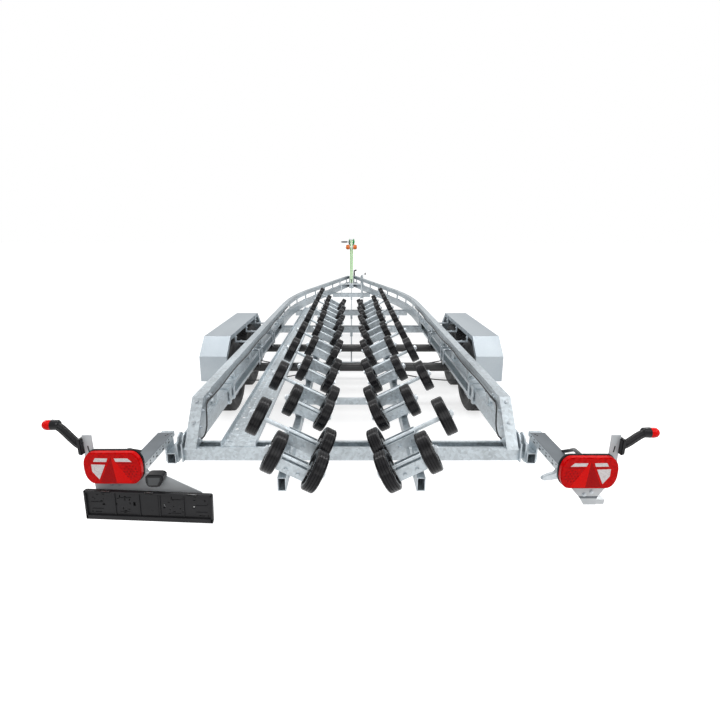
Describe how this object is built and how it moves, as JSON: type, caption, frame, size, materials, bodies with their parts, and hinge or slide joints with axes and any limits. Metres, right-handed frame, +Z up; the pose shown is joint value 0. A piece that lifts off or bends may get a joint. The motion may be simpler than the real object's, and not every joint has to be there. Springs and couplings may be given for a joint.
{
  "type": "tandem boat trailer",
  "caption": "Tandem boat trailer with bent double side rails, tilting roller cradles, winch post, walkway, mudguards, jockey wheel and slide-out light arms.",
  "frame": {"origin": "on the floor, in the middle of the length from the number plate to the coupling and of the width", "axes": "+Y points forward to the coupling, +X to the right as seen from behind, +Z up"},
  "size_m": [2.54, 9.6, 1.491],
  "materials": {
    "galvanised_steel": "satin",
    "smooth_zinc": "satin",
    "roller_rubber": "matte",
    "tyre_rubber": "matte",
    "rim_silver": "satin",
    "black_paint": "satin",
    "lime_paint": "gloss",
    "bow_rubber": "matte",
    "red_lens": "gloss",
    "black_plastic": "matte",
    "cable_black": "matte"
  },
  "bodies": {
    "frame": {"lower_rail_left": "galvanised_steel", "lower_rail_right": "galvanised_steel", "upper_rail_left": "galvanised_steel", "upper_rail_right": "galvanised_steel", "axle_channels": "galvanised_steel", "rail_struts": "galvanised_steel", "cross_members": "galvanised_steel", "roller_beams": "galvanised_steel", "cradles_left": "galvanised_steel", "cradles_right": "galvanised_steel", "walkway": "galvanised_steel", "drawbar": "galvanised_steel", "coupling_head": "galvanised_steel", "winch_post": "galvanised_steel", "jockey_tube": "galvanised_steel", "brake_rod": "galvanised_steel", "light_sockets": "galvanised_steel", "mudguard_left": "smooth_zinc", "mudguard_right": "smooth_zinc", "inner_rollers_left": "roller_rubber", "inner_rollers_right": "roller_rubber", "upper_rollers_left": "roller_rubber", "upper_rollers_right": "roller_rubber", "axle_front": "black_paint", "axle_rear": "black_paint", "handbrake_lever": "black_paint", "winch": "lime_paint", "bow_rollers": "bow_rubber", "wiring": "cable_black"},
    "wheel_front_left": {"rim_front_left": "rim_silver", "tyre_front_left": "tyre_rubber"},
    "wheel_front_right": {"rim_front_right": "rim_silver", "tyre_front_right": "tyre_rubber"},
    "wheel_rear_left": {"rim_rear_left": "rim_silver", "tyre_rear_left": "tyre_rubber"},
    "wheel_rear_right": {"rim_rear_right": "rim_silver", "tyre_rear_right": "tyre_rubber"},
    "jockey_slide": {"jockey_leg": "galvanised_steel"},
    "jockey_swivel": {"jockey_fork": "galvanised_steel"},
    "jockey_caster": {"jockey_wheel": "roller_rubber"},
    "arm_left": {"light_arm_left": "galvanised_steel", "tail_lamp_left": "red_lens", "marker_lamp_left": "red_lens", "plate_holder": "black_plastic"},
    "arm_right": {"light_arm_right": "galvanised_steel", "tail_lamp_right": "red_lens", "marker_lamp_right": "red_lens"}
  },
  "joints": [
    {"name": "wheel_front_left_spin", "type": "hinge", "parent": "frame", "child": "wheel_front_left", "pos_m": [-1.15, -1.69, 0.33], "axis": [1, 0, 0], "continuous": true},
    {"name": "wheel_front_right_spin", "type": "hinge", "parent": "frame", "child": "wheel_front_right", "pos_m": [1.15, -1.69, 0.33], "axis": [1, 0, 0], "continuous": true},
    {"name": "wheel_rear_left_spin", "type": "hinge", "parent": "frame", "child": "wheel_rear_left", "pos_m": [-1.15, -2.43, 0.33], "axis": [1, 0, 0], "continuous": true},
    {"name": "wheel_rear_right_spin", "type": "hinge", "parent": "frame", "child": "wheel_rear_right", "pos_m": [1.15, -2.43, 0.33], "axis": [1, 0, 0], "continuous": true},
    {"name": "jockey_lift", "type": "slide", "parent": "frame", "child": "jockey_slide", "axis": [0, 0, 1], "range_m": [-0.02, 0.16]},
    {"name": "jockey_turn", "type": "hinge", "parent": "jockey_slide", "child": "jockey_swivel", "pos_m": [0.2287, 3.5, 0.235], "axis": [0, 0, 1], "continuous": true},
    {"name": "jockey_roll", "type": "hinge", "parent": "jockey_swivel", "child": "jockey_caster", "pos_m": [0.2287, 3.455, 0.1], "axis": [1, 0, 0], "continuous": true},
    {"name": "light_arm_left_slide", "type": "slide", "parent": "frame", "child": "arm_left", "axis": [0, 1, 0], "range_m": [0, 0.2]},
    {"name": "light_arm_right_slide", "type": "slide", "parent": "frame", "child": "arm_right", "axis": [0, 1, 0], "range_m": [0, 0.2]}
  ]
}
